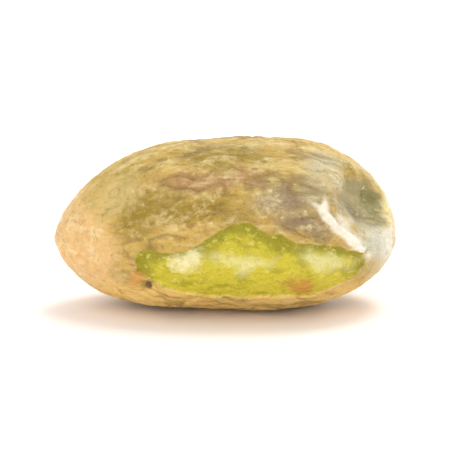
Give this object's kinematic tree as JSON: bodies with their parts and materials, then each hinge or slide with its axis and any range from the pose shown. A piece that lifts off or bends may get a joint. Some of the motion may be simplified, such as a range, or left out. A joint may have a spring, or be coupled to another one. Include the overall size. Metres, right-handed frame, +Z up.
{
  "type": "shelled pistachio kernel",
  "caption": "Whole pistachio kernel without its shell, lying on its side, pointed at one end, with dried skin and a patch of bare green flesh.",
  "frame": {"origin": "middle of the kernel's box, on the surface that it rests on", "axes": "+X from the pointed tip towards the round end, -Y towards the side with the large patch of bare flesh, +Z up from the surface"},
  "size_m": [0.0166, 0.0094, 0.0082],
  "materials": {
    "dried_seed_coat": "dry wrinkled skin, slightly waxy, with bare yellow-green flesh low on one side"
  },
  "bodies": {
    "root": {"pistachio_kernel": "dried_seed_coat"}
  },
  "joints": []
}
